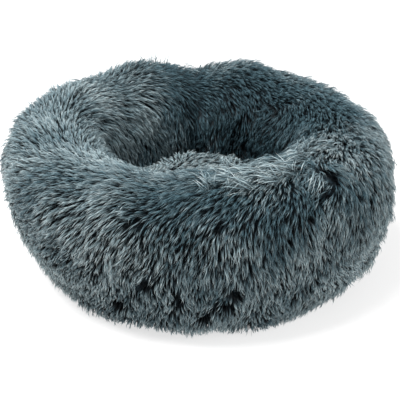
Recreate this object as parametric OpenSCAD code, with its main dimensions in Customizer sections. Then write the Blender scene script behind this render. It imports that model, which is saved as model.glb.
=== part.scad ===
/* [Bed] */
// Overall width of the bed, measured over the lying pile
bed_d = 490; // [400:5:640]
// Height of the rim's crest above the ground
bed_h = 196; // [150:2:250]
// Narrowest width of the well, measured over the lying pile
well_d = 204; // [150:2:260]
// Height at which the ring's outer wall stands out furthest
widest_h = 116; // [60:2:130]
// Height at which the ring's inner wall comes in furthest
narrow_h = 92; // [60:2:115]
// How far the outer wall's foot is tucked in under its widest point
outer_tuck = 50; // [30:1:60]
// How far the inner wall's foot is set back from the narrowest point
inner_tuck = 16; // [6:1:24]
// How far the rim's crest sits outside the middle of the ring
crest_shift = -2; // [-10:1:12]

/* [Fur] */
// Thickness of the fur fabric's knitted backing
backing_t = 1.2; // [0.8:0.1:2]
// Depth of the ring's pile as it lies
pile_t = 19; // [10:1:24]
// Depth of the floor cushion's pile as it lies
floor_pile_t = 16; // [8:1:22]

/* [Floor cushion] */
// How far below the well's narrowest point the floor cushion's edge meets the ring
floor_edge_drop = 6; // [0:1:20]
// How far the floor cushion's crown stands above its edge
floor_crown = 22; // [8:1:34]

/* [Base] */
// Thickness of the non-slip base cloth
base_t = 1.2; // [0.8:0.1:2.5]
// Width of one grip dot
dot_d = 5; // [3:0.5:10]
// Height of one grip dot
dot_h = 0.8; // [0.4:0.1:1.4]
// Distance between neighbouring grip dots
dot_pitch = 30; // [22:1:45]
// Bare cloth left between the outermost dots and the base seam
dot_margin = 14; // [8:1:40]

/* [Sewing] */
// Thickness of the overlock thread on the base's rim
base_thread_d = 1.1; // [0.8:0.1:1.2]
// Thickness of the doubled thread that sews the floor in
floor_thread_d = 1.8; // [1.2:0.1:2.4]
// Thickness of the seam that joins the ends of the fur strip
strip_seam_t = 1.2; // [0.8:0.1:2]
// Width of that seam, both raw edges folded together
strip_seam_w = 6; // [4:0.5:12]
// Direction from the well's centre to the strip's seam, from the front's right
strip_seam_at = 94; // [60:1:120]
// Angle of the base seam that is left open for stuffing, then closed
closing_span = 44; // [20:2:70]
// Direction from the well's centre to the middle of the closed stretch
closing_at = 200; // [150:5:250]
// Bare gap between the two threads of the base's rim
thread_end_gap = 1.5; // [0.5:0.5:4]

/* [Care label] */
// Width of the blank label
label_w = 24; // [15:1:40]
// Length of the folded label
label_l = 44; // [30:1:60]
// Thickness of the folded label
label_t = 0.6; // [0.4:0.1:0.7]
// Length of the label that is sewn in under the base
label_sewn = 9; // [5:1:14]
// Direction from the well's centre to the label
label_at = 62; // [30:1:80]

/* [Hidden] */
$fn = 128;

// Clearance between soft pieces whose curved faces lie side by side
gap = 0.3;
// Steps along each quarter of the ring's section and along the floor's crown
quarter_steps = 10;
// Halvings that settle where a curve passes a given height
find_steps = 24;
// Handle length of the round quarters, as a share of their run
round_k = 0.64;
// Handles of the quarters that run down to the feet: out along the ground and up the wall
foot_out_k = 0.75;
foot_up_k = 0.12;
wall_k = 0.36;
// Handles of the floor's crown, as shares of its radius
crown_far_k = 0.78;
crown_near_k = 0.38;

bed_r = bed_d / 2;
well_r = well_d / 2;
crest_r = (bed_r + well_r) / 2 + crest_shift;
cover_t = backing_t + pile_t;
floor_cover_t = backing_t + floor_pile_t;
panel_bottom = dot_h;
panel_top = dot_h + base_t;
outer_foot_r = bed_r - outer_tuck;
inner_foot_r = well_r + inner_tuck;
base_r = outer_foot_r - cover_t;
floor_edge_h = narrow_h - floor_edge_drop;
floor_h = floor_edge_h + floor_crown;
fill_inset = cover_t + strip_seam_t + 2 * gap;
groove_w = floor_thread_d + 2 * gap;
base_thread_r = base_r + gap + base_thread_d / 2;
base_thread_z = (panel_bottom + panel_top) / 2;
// Angle that the bare gap takes up on the base's rim
thread_gap_angle = thread_end_gap / base_thread_r * 180 / PI;

// A cubic curve through four control points
function cubic(p, t) =
    pow(1 - t, 3) * p[0] + 3 * t * pow(1 - t, 2) * p[1] + 3 * t * t * (1 - t) * p[2] + t * t * t * p[3];

// Points along a cubic curve from one share of it to another, both ends included
function along(p, from = 0, to = 1) =
    [for (i = [0 : quarter_steps]) cubic(p, from + (to - from) * i / quarter_steps)];

// The share of a rising curve at which it passes the height z
function share_at(p, z, lo = 0, hi = 1, n = find_steps) =
    n == 0 ? (lo + hi) / 2
    : cubic(p, (lo + hi) / 2)[1] < z ? share_at(p, z, (lo + hi) / 2, hi, n - 1)
    : share_at(p, z, lo, (lo + hi) / 2, n - 1);

// A wall's lower quarter, from its foot on the base up to its furthest point, both as [radius, height]
function foot_quarter(foot, reach) =
    let (run = reach[0] - foot[0], rise = reach[1] - foot[1])
    [foot, foot + [foot_out_k * run, foot_up_k * rise], reach - [0, wall_k * rise], reach];

// A rounded upper quarter, upright at its side and level at its crest
function crest_quarter(side, crest) =
    let (run = crest[0] - side[0], rise = crest[1] - side[1])
    [side, side + [0, round_k * rise], crest - [round_k * run, 0], crest];

// The inner wall's lower quarter, set into the ring by inset
function inner_foot_quarter(inset) =
    foot_quarter([inner_foot_r + inset, panel_top], [well_r + inset, narrow_h]);

// The ring's section, set in from the pile's surface by inset and standing on the base cloth
function ring_outline(inset) =
    let (side_out = [bed_r - inset, widest_h],
         side_in = [well_r + inset, narrow_h],
         crest = [crest_r, bed_h - inset],
         outer_up = along(foot_quarter([outer_foot_r - inset, panel_top], side_out)),
         outer_top = along(crest_quarter(side_out, crest)),
         inner_top = along(crest_quarter(side_in, crest)),
         inner_up = along(inner_foot_quarter(inset)),
         n = quarter_steps)
    concat(outer_up, [for (i = [1 : n]) outer_top[i]], [for (i = [n - 1 : -1 : 0]) inner_top[i]],
           [for (i = [n - 1 : -1 : 0]) inner_up[i]]);

// Half of the floor cushion's section, set in by inset: up beside the ring's wall and over the crown
function floor_outline(inset) =
    let (wall = inner_foot_quarter(0),
         edge_h = floor_edge_h - inset,
         top_h = floor_h - inset,
         side = along(wall, 0, share_at(wall, edge_h)),
         shift = gap + inset,
         edge_r = side[quarter_steps][0] - shift,
         crown = along([[edge_r, edge_h], [crown_far_k * edge_r, top_h], [crown_near_k * edge_r, top_h],
                        [0, top_h]]))
    concat([[0, panel_top]], [for (p = side) [p[0] - shift, p[1]]],
           [for (i = [1 : quarter_steps]) crown[i]]);

// A thread that runs round the bed, as a thin round ring or part of one
module thread_ring(r, z, d, from = 0, span = 360) {
    rotate([0, 0, from])
        rotate_extrude(angle = span)
            translate([r, z])
                circle(d = d, $fn = 24);
}

// The groove at the inner foot where the ring, the floor and the base are sewn together
module floor_groove() {
    rotate_extrude()
        translate([inner_foot_r - gap / 2 - groove_w / 2, panel_top])
            square([groove_w, groove_w]);
}

// Fur strip sewn into a tube: pile outside, knitted backing inside, open towards the base
module ring_cover() {
    color("#4a5b64")
        difference() {
            rotate_extrude()
                difference() {
                    polygon(ring_outline(0));
                    polygon(ring_outline(cover_t));
                }
            floor_groove();
        }
}

// Seam across the tube that joins the two ends of the fur strip, on the backing's inner face
module strip_seam() {
    color("#2b363c")
        rotate([90, 0, strip_seam_at])
            linear_extrude(height = strip_seam_w, center = true)
                difference() {
                    polygon(ring_outline(cover_t + gap));
                    polygon(ring_outline(cover_t + gap + strip_seam_t));
                }
}

// Loose fibre that stuffs the ring
module ring_fill() {
    color("#f2f2ee")
        rotate_extrude()
            polygon(ring_outline(fill_inset));
}

// Fur disc over the floor cushion, its rim turned down beside the ring's wall
module floor_cover() {
    color("#53646d")
        difference() {
            rotate_extrude()
                difference() {
                    polygon(floor_outline(0));
                    polygon(floor_outline(floor_cover_t));
                }
            floor_groove();
        }
}

// Fibre pad inside the floor cushion
module floor_fill() {
    color("#ecece6")
        rotate_extrude()
            polygon(floor_outline(floor_cover_t + gap));
}

// Thread that sews the ring's inner edge and the floor's rim to the base
module floor_seam() {
    color("#27323a")
        thread_ring(inner_foot_r - gap / 2, panel_top + groove_w / 2, floor_thread_d);
}

// Round non-slip cloth that closes the underside
module base_panel() {
    color("#23282c")
        translate([0, 0, panel_bottom])
            cylinder(h = base_t, r = base_r);
}

// Soft dots bonded to the cloth, in staggered rows that start from one at the centre
module grip_dots() {
    reach = base_r - dot_margin - dot_d / 2;
    row_step = dot_pitch * sin(60);
    rows = floor(reach / row_step);
    columns = ceil(reach / dot_pitch);
    color("#30363a")
        for (row = [-rows : rows])
            for (column = [-columns : columns]) {
                x = (column + (row % 2 == 0 ? 0 : 0.5)) * dot_pitch;
                y = row * row_step;
                if (norm([x, y]) <= reach)
                    translate([x, y, 0])
                        cylinder(h = dot_h, d = dot_d, $fn = 24);
            }
}

// Overlock thread that joins the base's rim to the ring, up to the stuffing gap
module base_seam() {
    color("#1c2226")
        thread_ring(base_thread_r, base_thread_z, base_thread_d,
                    closing_at + closing_span / 2, 360 - closing_span);
}

// Second thread that closes the stuffing gap
module closing_seam() {
    color("#59666d")
        thread_ring(base_thread_r, base_thread_z, base_thread_d,
                    closing_at - closing_span / 2 + thread_gap_angle, closing_span - 2 * thread_gap_angle);
}

// Blank folded label, sewn under the base's rim with its fold pointing outwards
module care_label() {
    straight_l = label_l - label_t / 2;
    color("#e9e9e4")
        rotate([0, 0, label_at])
            translate([base_r - label_sewn, label_w / 2, panel_bottom - label_t])
                rotate([90, 0, 0])
                    linear_extrude(height = label_w) {
                        square([straight_l, label_t]);
                        translate([straight_l, label_t / 2])
                            circle(d = label_t, $fn = 24);
                    }
}

ring_cover();
strip_seam();
ring_fill();
floor_cover();
floor_fill();
floor_seam();
base_panel();
grip_dots();
base_seam();
closing_seam();
care_label();
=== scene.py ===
"""Round pet bed of long-pile fur: a stuffed ring, a crowned floor cushion, a flat non-slip base.

The knitted backings of the ring and of the floor cushion are worked out as grids and puffed up by a
cloth simulation. The pile is then planted on them as closed tapered locks, in tufts that are combed
along the fabric. Everything is in metres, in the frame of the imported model.
"""

import math

import bpy
import numpy as np
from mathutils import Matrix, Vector


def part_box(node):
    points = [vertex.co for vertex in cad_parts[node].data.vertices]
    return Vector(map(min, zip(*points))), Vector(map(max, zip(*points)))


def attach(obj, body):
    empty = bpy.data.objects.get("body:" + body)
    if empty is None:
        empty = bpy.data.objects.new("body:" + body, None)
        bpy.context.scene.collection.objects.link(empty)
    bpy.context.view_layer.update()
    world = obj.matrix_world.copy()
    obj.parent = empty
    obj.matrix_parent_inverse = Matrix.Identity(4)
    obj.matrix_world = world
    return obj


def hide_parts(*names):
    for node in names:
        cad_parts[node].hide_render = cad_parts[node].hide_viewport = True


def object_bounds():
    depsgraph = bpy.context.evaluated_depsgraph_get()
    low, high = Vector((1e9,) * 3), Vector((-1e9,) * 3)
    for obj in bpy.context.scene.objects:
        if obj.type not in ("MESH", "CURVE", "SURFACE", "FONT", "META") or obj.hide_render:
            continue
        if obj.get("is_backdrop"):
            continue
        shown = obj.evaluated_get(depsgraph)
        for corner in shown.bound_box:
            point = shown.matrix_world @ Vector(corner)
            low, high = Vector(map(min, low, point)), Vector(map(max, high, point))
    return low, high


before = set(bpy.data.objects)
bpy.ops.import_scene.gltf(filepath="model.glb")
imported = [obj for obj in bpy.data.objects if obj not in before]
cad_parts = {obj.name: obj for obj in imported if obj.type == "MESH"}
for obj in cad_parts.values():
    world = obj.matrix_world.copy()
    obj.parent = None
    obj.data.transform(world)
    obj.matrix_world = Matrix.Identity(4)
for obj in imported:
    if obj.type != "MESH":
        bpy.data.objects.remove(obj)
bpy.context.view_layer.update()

MM = 0.001
TAU = 2 * math.pi

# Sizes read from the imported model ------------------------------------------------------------
def corners(node):
    """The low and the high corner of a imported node's box."""
    low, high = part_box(node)
    return np.array(low), np.array(high)


_, RING_HI = corners("ring_cover")
_, FLOOR_HI = corners("floor_cover")
PANEL_LO, PANEL_HI = corners("base_panel")
_, SEAM_HI = corners("base_seam")
LABEL_LO, LABEL_HI = corners("care_label")
FLOOR_SEAM_LO, FLOOR_SEAM_HI = corners("floor_seam")

BED_R = RING_HI[0]
BED_H = RING_HI[2]
BASE_R = PANEL_HI[0]
BASE_TOP = PANEL_HI[2]
BASE_BOTTOM = PANEL_LO[2]
INNER_FOOT_R = FLOOR_HI[0]
FLOOR_H = FLOOR_HI[2]

# The ring's section, as the maker cuts it: the well's radius, the heights of the widest and the
# narrowest place, the crest's shift outwards, and how full its quarters are ----------------------
WELL_R = 102 * MM
WIDEST_H = 116 * MM
NARROW_H = 92 * MM
CREST_SHIFT = -2 * MM
CREST_R = (BED_R + WELL_R) / 2 + CREST_SHIFT
ROUND_K = 0.64
FOOT_OUT_K, FOOT_UP_K, WALL_K = 0.75, 0.12, 0.36
FLOOR_EDGE_DROP = 22 * MM
STRIP_SEAM_AT = 94
CLOSING_FROM, CLOSING_TO = 178, 222

# How far the knitted backing lies under the pile's surface before it is puffed, how far the
# filling may push it, how much it is let out for that, how firmly it is held back and in how many
# levels, and its gap over the base
SET_IN = 16 * MM
FLOOR_SET_IN = 15 * MM
PUFF = 5 * MM
LET_OUT, FLOOR_LET_OUT = 0.04, 0.03
HOLD = 0.375
HOLD_LEVELS = 8
FLOAT = 0.3 * MM


# Helpers ---------------------------------------------------------------------------------------
def colour(hex_code, alpha=1.0):
    """An sRGB hex colour as linear red, green, blue and alpha."""
    srgb = np.array([int(hex_code[i : i + 2], 16) for i in (1, 3, 5)]) / 255
    linear = np.where(srgb <= 0.04045, srgb / 12.92, ((srgb + 0.055) / 1.055) ** 2.4)
    return (*linear.tolist(), alpha)


def wire(node, values=None, links=None):
    """Sets socket values of a node and links sockets to its inputs."""
    for key, value in (values or {}).items():
        node.inputs[key].default_value = value
    for key, socket in (links or {}).items():
        node.id_data.links.new(socket, node.inputs[key])


def add(tree, kind, values=None, links=None, **settings):
    """Adds a node, sets its settings and socket values, and links sockets to its inputs."""
    node = tree.nodes.new(kind)
    for name, value in settings.items():
        setattr(node, name, value)
    wire(node, values, links)
    return node


def new_material(name):
    """A material with an empty Principled surface, as (material, tree, surface node)."""
    material = bpy.data.materials.new(name)
    material.use_nodes = True
    tree = material.node_tree
    return material, tree, tree.nodes["Principled BSDF"]


def set_stops(ramp, stops):
    """Gives a colour ramp its stops, each a place along it and an sRGB hex colour."""
    points = ramp.color_ramp.elements
    while len(points) < len(stops):
        points.new(0.5)
    for point, (at, code) in zip(points, stops):
        point.position = at
        point.color = colour(code)


def unit(v):
    """Each vector at length one."""
    return v / np.maximum(np.linalg.norm(v, axis=-1, keepdims=True), 1e-12)


def dot(a, b):
    """The scalar product of each pair of vectors, kept as a column."""
    return (a * b).sum(-1, keepdims=True)


def smooth(x):
    """0 below 0, 1 above 1, and 3x^2 - 2x^3 between."""
    x = np.clip(x, 0.0, 1.0)
    return x * x * (3 - 2 * x)


def bell(x, centre, width):
    """exp(-((x - centre) / width)^2)."""
    return np.exp(-(((x - centre) / width) ** 2))


def bump(phi, centre, width):
    """A bell over azimuth, 1 at its centre, of that half-width in degrees, the short way round."""
    away = (np.degrees(phi) - centre + 180) % 360 - 180
    return np.exp(-((away / width) ** 2))


def on_circle(phi, radius, height):
    """Points at azimuths phi, at that radius and height, as (..., 3)."""
    phi, radius, height = np.broadcast_arrays(phi, radius, height)
    return np.stack([radius * np.cos(phi), radius * np.sin(phi), height], -1)


def mesh_piece(name, points, faces, material, uv=None):
    """A smooth-shaded mesh object from points (n, 3) and one or more arrays of faces (m, 3 or 4),
    with an optional UV per corner."""
    groups = faces if isinstance(faces, list) else [faces]
    loops = np.concatenate([g.ravel() for g in groups]).astype(np.int32)
    sides = np.concatenate([np.full(len(g), g.shape[1]) for g in groups])
    mesh = bpy.data.meshes.new(name)
    mesh.vertices.add(len(points))
    mesh.vertices.foreach_set("co", np.ascontiguousarray(points, np.float32).ravel())
    mesh.loops.add(len(loops))
    mesh.loops.foreach_set("vertex_index", loops)
    mesh.polygons.add(len(sides))
    mesh.polygons.foreach_set("loop_start", (np.cumsum(sides) - sides).astype(np.int32))
    mesh.polygons.foreach_set("use_smooth", np.full(len(sides), True))
    if uv is not None:
        layer = mesh.uv_layers.new(name="OFBake")
        layer.data.foreach_set("uv", np.ascontiguousarray(uv, np.float32).ravel())
    mesh.update(calc_edges=True)
    mesh.validate()
    mesh.materials.append(material)
    piece = bpy.data.objects.new(name, mesh)
    bpy.context.scene.collection.objects.link(piece)
    return piece


def grid_faces(rows, columns, wrap_rows=False):
    """Quads of a grid of points numbered row by row, that closes round its columns."""
    r = np.arange(rows if wrap_rows else rows - 1)[:, None]
    c = np.arange(columns)[None, :]
    down, right = (r + 1) % rows, (c + 1) % columns
    quads = [r * columns + c, r * columns + right, down * columns + right, down * columns + c]
    return np.stack([np.broadcast_to(q, (len(r), c.shape[1])) for q in quads], -1).reshape(-1, 4)


def cubic(p0, p1, p2, p3, t):
    """The cubic curve through four control points, at shares t of it."""
    s = 1 - t
    return s**3 * p0 + 3 * s * s * t * p1 + 3 * s * t * t * p2 + t**3 * p3


def waves(seed, length, count=10):
    """A smooth 3D noise, a sum of sine waves of about that length each way: a function that gives
    its value and its gradient at points."""
    noise_rng = np.random.default_rng(seed)
    k = noise_rng.normal(size=(count, 3))
    k *= (TAU / length / noise_rng.uniform(0.75, 1.35, count) / np.linalg.norm(k, axis=1))[:, None]
    phase = noise_rng.uniform(0, TAU, count)

    def at(points):
        angle = points @ k.T + phase
        value = np.sin(angle).sum(-1) / math.sqrt(count / 2)
        gradient = (np.cos(angle) @ k) * length / TAU / math.sqrt(count / 2)
        return value, gradient

    return at


# The shape of the stuffed ring -----------------------------------------------------------------
# Each dent: azimuth in degrees, half-width in degrees, depth in mm, and how much of it each
# stretch of the section takes: foot of the outer wall, outer wall, crest, inner wall
DENTS = (
    (94, 8, 18, 0.0, 0.0, 0.4, 1.0),
    (55, 13, 9, 0.0, 0.1, 0.3, 1.0),
    (130, 17, -8, 0.0, 0.0, 0.2, 1.0),
    (20, 14, -4, 0.0, 0.0, 0.3, 0.8),
    (348, 9, 6, 0.0, 0.1, 0.6, 0.6),
    (174, 11, 10, 0.0, 0.0, 0.4, 1.0),
    (258, 14, 6, 0.0, 0.0, 0.8, 0.3),
    (213, 30, 11, 1.0, 0.1, 0.0, 0.0),
)
# Where each of those stretches lies: its share of the section and its half-width
STRETCHES = ((0.14, 0.09), (0.27, 0.16), (0.52, 0.13), (0.76, 0.14))
# Over what share of the section the dents fade out at either foot
FOOT_FADE = 0.12
# Each swell of the rim: azimuth, half-width, rise of the crest in mm, push outwards in mm
SWELLS = (
    (118, 15, 9, 9),
    (62, 20, 7, 4),
    (338, 14, 0, 5),
    (8, 10, 2, 3),
    (20, 26, -3, 0),
    (222, 34, -6, 3),
    (300, 24, 4, 0),
    (160, 22, 9, 7),
    (176, 16, 4, 6),
)
# How much of a push the crest and the well's wall follow
CREST_FOLLOWS, WELL_FOLLOWS = 0.5, 0.3
SECTION_STEPS = 26
RING_ROWS = 84
BAND_ROWS = 6
RING_COLUMNS = 224


def ring_section(phi, inset):
    """The ring's section at each azimuth, as radius and height from the outer foot over the crest
    to the inner foot: four cubic quarters with upright sides and a level crest, with the crest
    raised and the sides pushed out by the swells."""
    rise = sum(bump(phi, a, w) * h for a, w, h, _ in SWELLS) * MM
    push = sum(bump(phi, a, w) * p for a, w, _, p in SWELLS) * MM
    one = np.ones_like(phi)
    foot_h = (BASE_TOP + FLOAT) * one
    outer_foot = np.stack([one * (BASE_R - FLOAT), foot_h])
    widest = np.stack([BED_R - inset + push, WIDEST_H * one])
    crest = np.stack([CREST_R + push * CREST_FOLLOWS, BED_H - inset + rise])
    narrow = np.stack([WELL_R + inset + push * WELL_FOLLOWS, NARROW_H * one])
    inner_foot = np.stack([one * (INNER_FOOT_R + inset), foot_h])

    def foot_quarter(foot, reach):
        run, up = reach - foot
        out = foot + np.stack([FOOT_OUT_K * run, FOOT_UP_K * up])
        return foot, out, reach - np.stack([0 * run, WALL_K * up]), reach

    def crest_quarter(side, top):
        run, up = top - side
        over = top - np.stack([ROUND_K * run, 0 * up])
        return side, side + np.stack([0 * run, ROUND_K * up]), over, top

    t = np.linspace(0, 1, SECTION_STEPS + 1)[:, None]
    legs = []
    for quarter, backwards in (
        (foot_quarter(outer_foot, widest), False),
        (crest_quarter(widest, crest), False),
        (crest_quarter(narrow, crest), True),
        (foot_quarter(inner_foot, narrow), True),
    ):
        p = [q[:, None, :] for q in quarter]
        leg = cubic(*p, (1 - t if backwards else t)[None])
        legs.append(leg[:, 1:] if legs else leg)
    return np.concatenate(legs, 1)


def even_rows(points, rows):
    """Rows of a grid, moved along each column so that they lie evenly spaced."""
    step = np.linalg.norm(np.diff(points, axis=0), axis=-1)
    run = np.concatenate([np.zeros((1, step.shape[1])), np.cumsum(step, 0)])
    out = np.empty((rows, *points.shape[1:]))
    for column in range(points.shape[1]):
        want = np.linspace(0, run[-1, column], rows)
        for axis in range(3):
            out[:, column, axis] = np.interp(want, run[:, column], points[:, column, axis])
    return out


def grid_normals(points):
    """Unit normals of a grid that closes round its columns, pointing out of the stuffing."""
    along_row = np.roll(points, -1, 1) - np.roll(points, 1, 1)
    down = np.gradient(points, axis=0)
    return unit(np.cross(along_row, down))


def ring_surface(inset):
    """The ring's surface as a grid (rows from the outer foot to the inner one, columns round the
    bed): the section turned round the axis, pressed in along its normal by each dent."""
    phi = np.arange(RING_COLUMNS) / RING_COLUMNS * TAU
    section = ring_section(phi, inset)
    points = even_rows(on_circle(phi, section[0], section[1]), RING_ROWS)
    share = np.linspace(0, 1, RING_ROWS)[:, None]
    normal = grid_normals(points)
    fade = smooth(share / FOOT_FADE) * smooth((1 - share) / FOOT_FADE)
    press = 0
    for centre, width, depth, *takes in DENTS:
        weight = sum(take * bell(share, at, wide) for take, (at, wide) in zip(takes, STRETCHES))
        press = press + depth * MM * bump(phi, centre, width)[None] * np.minimum(weight, 1) * fade
    return points - normal * press[..., None]


def closed_ring(wall):
    """The wall's grid with rows added flat across the base, from the inner foot to the outer."""
    share = np.linspace(0, 1, BAND_ROWS + 2)[1:-1, None, None]
    band = wall[-1:] * (1 - share) + wall[:1] * share
    return np.concatenate([wall, band])


# The backing as the simulation's cloth, blown up from inside
CLOTH = {
    "quality": 4,
    "mass": 0.3,
    "tension_stiffness": 12,
    "compression_stiffness": 12,
    "shear_stiffness": 6,
    "bending_stiffness": 0.6,
    "vertex_group_mass": "held",
    "pin_stiffness": 1.0,
    "use_pressure": True,
    "uniform_pressure_force": 4,
}


def puffed(points, faces, held, grow, travel, frames=20):
    """The points after the filling has pushed the cloth out: a cloth simulation under pressure,
    with the cut let out by the share grow, points held back by their weight in held, and none
    moved further than travel."""
    flat = points.reshape(-1, 3)
    piece = mesh_piece("puffing", flat, faces, BACKING)
    group = piece.vertex_groups.new(name="held")
    levels = np.round(held.ravel() * HOLD_LEVELS).astype(int)
    for level in range(1, HOLD_LEVELS + 1):
        group.add(np.nonzero(levels == level)[0].tolist(), level / HOLD_LEVELS, "REPLACE")
    cloth = piece.modifiers.new("cloth", "CLOTH")
    for name, value in CLOTH.items():
        setattr(cloth.settings, name, value)
    cloth.settings.shrink_min = -grow
    cloth.settings.effector_weights.gravity = 0
    cloth.collision_settings.use_collision = False
    cloth.collision_settings.use_self_collision = False
    cloth.point_cache.frame_start = 1
    cloth.point_cache.frame_end = frames
    scene = bpy.context.scene
    scene.frame_start, scene.frame_end = 1, frames
    for number in range(1, frames + 1):
        scene.frame_set(number)
    made = piece.evaluated_get(bpy.context.evaluated_depsgraph_get()).to_mesh()
    moved = np.empty(len(flat) * 3, np.float32)
    made.vertices.foreach_get("co", moved)
    away = moved.reshape(-1, 3).astype(float) - flat
    far = np.linalg.norm(away, axis=-1, keepdims=True)
    away *= travel * np.tanh(far / travel) / np.maximum(far, 1e-9)
    bpy.data.objects.remove(piece)
    scene.frame_set(1)
    return (flat + away).reshape(points.shape)


def sample_grid(points, row, column):
    """Points of a grid at fractional rows and columns, mixed from the four round each, closing
    round its columns."""
    rows, columns = points.shape[:2]
    r0 = np.clip(np.floor(row).astype(int), 0, rows - 2)
    c0 = np.floor(column).astype(int)
    fr, fc = (row - r0)[:, None], (column - c0)[:, None]
    c0, c1 = c0 % columns, (c0 + 1) % columns
    upper = points[r0, c0] * (1 - fc) + points[r0, c1] * fc
    lower = points[r0 + 1, c0] * (1 - fc) + points[r0 + 1, c1] * fc
    return upper * (1 - fr) + lower * fr


# The pile ---------------------------------------------------------------------------------------
# A lock is a spindle: a point at its root, two three-sided rings, a point at its tip. For each
# corner of its triangles: the point, how many sides round it the map has come, and how far along
# the lock it lies
LOCK_FACES = np.array(
    [(0, 2, 1), (0, 3, 2), (0, 1, 3)]
    + [(1, 2, 5), (1, 5, 4), (2, 3, 6), (2, 6, 5), (3, 1, 4), (3, 4, 6)]
    + [(4, 5, 7), (5, 6, 7), (6, 4, 7)]
)
LOCK_SIDES = np.array(
    [(0.5, 1, 0), (1.5, 2, 1), (2.5, 3, 2)]
    + [(0, 1, 1), (0, 1, 0), (1, 2, 2), (1, 2, 1), (2, 3, 3), (2, 3, 2)]
    + [(0, 1, 0.5), (1, 2, 1.5), (2, 3, 2.5)]
)
LOCK_RINGS = ((0.34, 1.0), (0.76, 0.8))
LOCK_RUN = np.array([0, 0.34, 0.34, 0.34, 0.76, 0.76, 0.76, 1.0])[LOCK_FACES]
LOCK_POINTS = 8
LOCK_KEYS = ("root", "middle", "tip", "thick", "tone", "start")
# The map: how much paler each side of a lock is than the last, how wide the tones spread, and the
# margin at either end of the locks' run
TONE_STEP = 0.006
TONE_REACH = 0.98
MAP_MARGIN = 0.002
# A direction that no lock follows, to turn its rings from
ASKEW = np.array([0.31, 0.52, 0.79])


def lock_mesh(root, middle, tip, thickness, tone, start, roll):
    """Closed tapered locks of pile. Each follows the quadratic curve (1-t)^2 root + 2t(1-t) middle
    + t^2 tip through its two rings, full and 0.8 thick. Returns points, triangles and a UV per
    corner: u is the lock's tone, a step paler on each side, and v runs from start at its root to 1
    at its tip."""
    count = len(root)
    rings = []
    for t, wide in LOCK_RINGS:
        s = 1 - t
        line = s * s * root + 2 * s * t * middle + t * t * tip
        heading = unit(s * (middle - root) + t * (tip - middle))
        across = unit(np.cross(heading, ASKEW))
        up = np.cross(across, heading)
        radius = thickness[:, None] * wide / 2
        for k in range(3):
            angle = (roll + TAU * k / 3)[:, None]
            rings.append(line + radius * (np.cos(angle) * across - np.sin(angle) * up))
    points = np.stack([root, *rings, tip], 1)
    triangles = LOCK_FACES[None] + (np.arange(count) * LOCK_POINTS)[:, None, None]
    begin = start[:, None, None]
    across_map = LOCK_SIDES * TONE_STEP + (tone * TONE_REACH)[:, None, None]
    along_map = MAP_MARGIN + (1 - 2 * MAP_MARGIN) * (begin + (1 - begin) * LOCK_RUN)
    uv = np.stack([across_map, along_map], -1)
    return points.reshape(-1, 3), triangles.reshape(-1, 3), uv.reshape(-1, 2)


class Pile:
    """Locks gathered from several plantings, then made up into pieces."""

    def __init__(self):
        self.parts = []

    def take(self, **arrays):
        """Keeps the root, middle, tip, thickness, tone, start and base of some locks."""
        self.parts.append(arrays)

    def all(self, key):
        """One array of all the locks' values."""
        return np.concatenate([p[key] for p in self.parts])


# How far each tuft is shaken from its even place, in spacings
SHAKE = 0.36


def tuft_places(points, normals, rng, spacing, first=0):
    """Tuft roots over a grid of backing points, from its row first on: staggered rows about spacing
    apart, shaken by a third of it. Returns place, normal, direction down the rows, direction round
    the bed, share of the way down the rows, and azimuth, for each."""
    rows, columns = points.shape[:2]
    run = np.linalg.norm(np.diff(points, axis=0), axis=-1).mean(1)
    run = np.concatenate([[0], np.cumsum(run)])
    begin, end = run[first], run[-1]
    lines = max(int((end - begin) / spacing), 2)
    row_at, column_at = [], []
    for i in range(lines):
        r = np.interp(begin + (i + 0.5) / lines * (end - begin), run, np.arange(rows))
        ring = points[int(round(r))]
        around = np.linalg.norm(np.roll(ring, -1, 0) - ring, axis=-1).sum()
        n = max(int(around / spacing), 3)
        even = np.arange(n) + 0.5 * (i % 2)
        column_at.append((even + rng.uniform(-SHAKE, SHAKE, n)) / n * columns)
        shaken = r + rng.uniform(-SHAKE, SHAKE, n) * spacing / run[-1] * rows
        row_at.append(np.clip(shaken, first, rows - 1.001))
    row_at, column_at = np.concatenate(row_at), np.concatenate(column_at)
    place = sample_grid(points, row_at, column_at)
    normal = unit(sample_grid(normals, row_at, column_at))
    down = unit(sample_grid(np.gradient(points, axis=0), row_at, column_at))
    around = sample_grid(np.roll(points, -1, 1) - np.roll(points, 1, 1), row_at, column_at)
    around = unit(around - normal * dot(around, normal))
    down = unit(down - normal * dot(down, normal))
    phi = np.arctan2(place[:, 1], place[:, 0])
    return place, normal, down, around, row_at / (rows - 1), phi


# How locks clump: a noise a tuft or two long pulls their tips together by up to TUFT_PULL
TUFT_NOISE = waves(11, 8.5 * MM, 16)
TUFT_PULL = 2.8 * MM
USUAL_LENGTH = 28 * MM
# The longer noises that turn the comb, sway it, and vary tone and length
LIE_NOISE = waves(3, 90 * MM)
SWAY_NOISE = waves(17, 32 * MM, 12)
TONE_NOISE = waves(5, 70 * MM)
LENGTH_NOISE = waves(23, 60 * MM)
# No lock rises over PILE_TOP. Each point of a lock also stays over the ground and over the base
PILE_TOP = BED_H + 14 * MM
OVER_GROUND = {"root": 1.0 * MM, "middle": 1.0 * MM, "tip": 0.5 * MM}
OVER_BASE = {"root": 0.5 * MM, "middle": 1.8 * MM, "tip": 1.2 * MM}
ROOT_DEPTH = 1.0 * MM
DROOP = 0.05


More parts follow.
